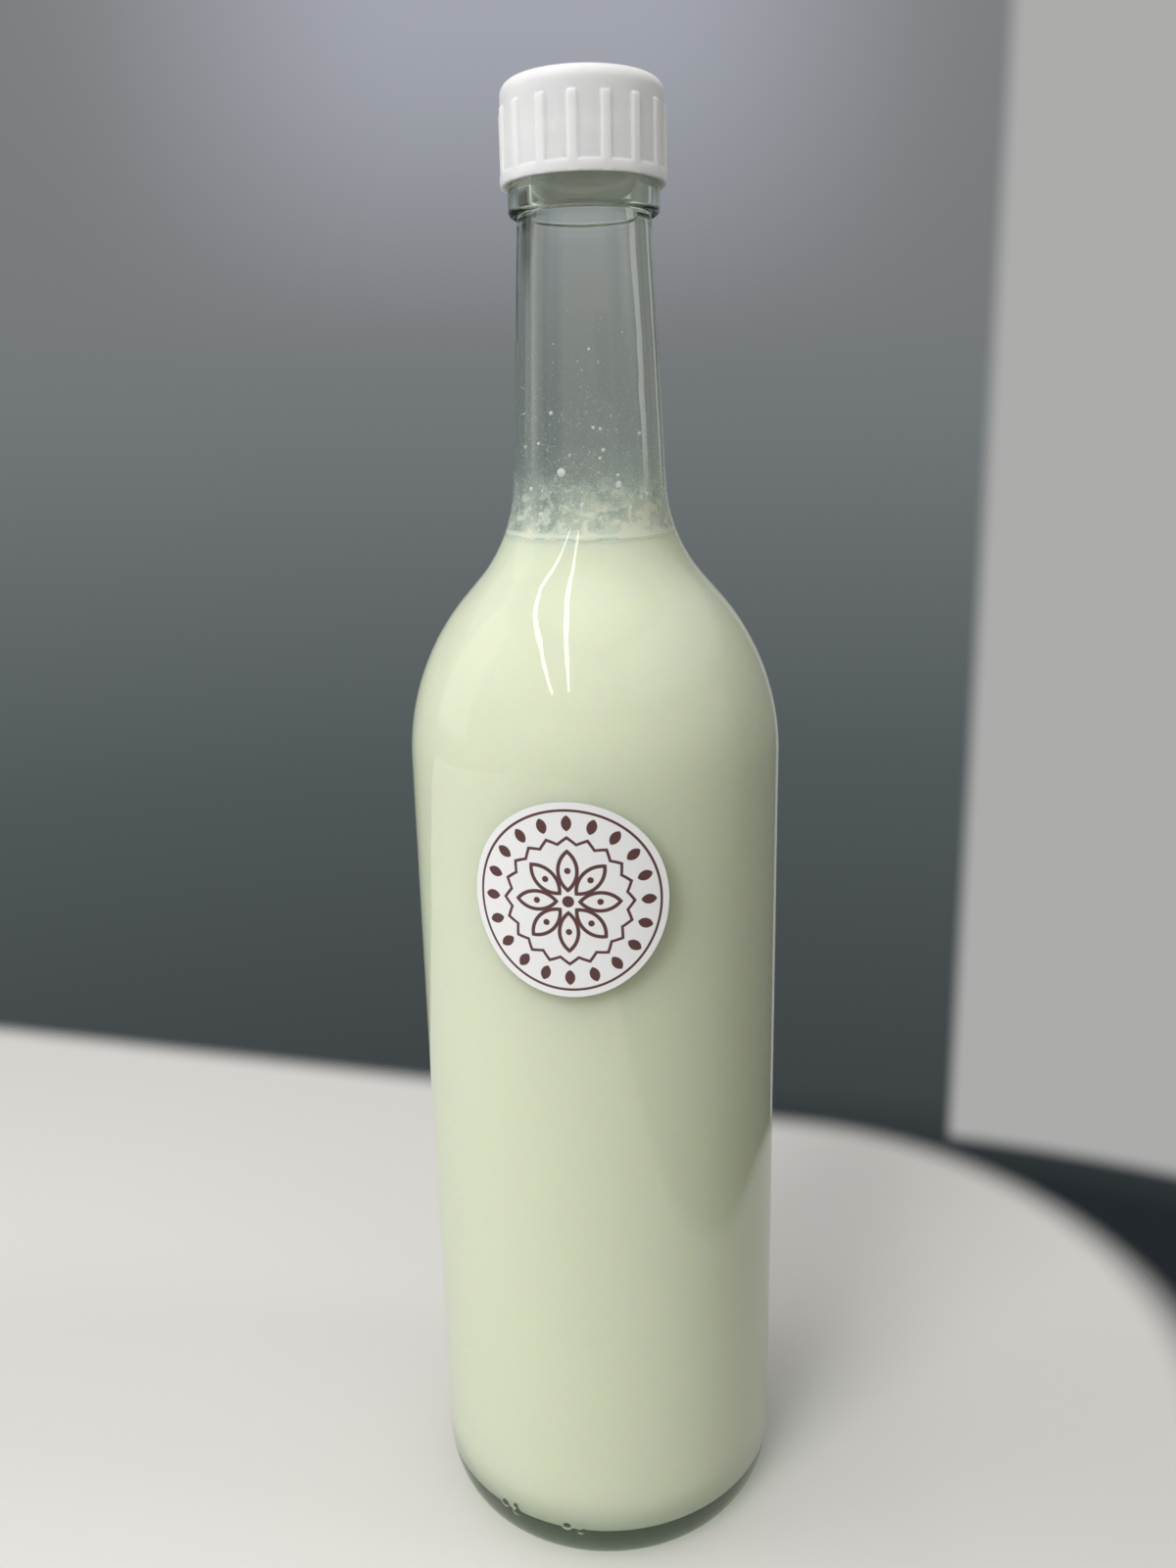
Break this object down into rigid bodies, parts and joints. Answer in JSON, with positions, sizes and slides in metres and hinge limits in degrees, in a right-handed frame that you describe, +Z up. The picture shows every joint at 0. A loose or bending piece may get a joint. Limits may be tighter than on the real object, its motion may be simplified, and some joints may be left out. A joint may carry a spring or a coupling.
{
  "type": "glass milk bottle with screw cap",
  "caption": "Tall clear glass bottle of milk with rounded shoulders, a slim neck, a ribbed white screw cap and a round sticker.",
  "frame": {"origin": "centre of the flat ring that the bottle stands on", "axes": "+Z up along the bottle's axis, -Y towards the front, where the sticker is"},
  "size_m": [0.075, 0.0756, 0.2938],
  "materials": {
    "clear_glass": "clear flint glass, fire polished, with a faint green tint in thick places",
    "milk": "whole milk, opaque warm white liquid",
    "white_cap": "injection moulded white polypropylene, satin",
    "sticker_paper": "coated white label paper, printed in dark maroon"
  },
  "bodies": {
    "root": {"bottle": "clear_glass", "milk": "milk", "cap": "white_cap", "sticker": "sticker_paper"}
  },
  "joints": []
}
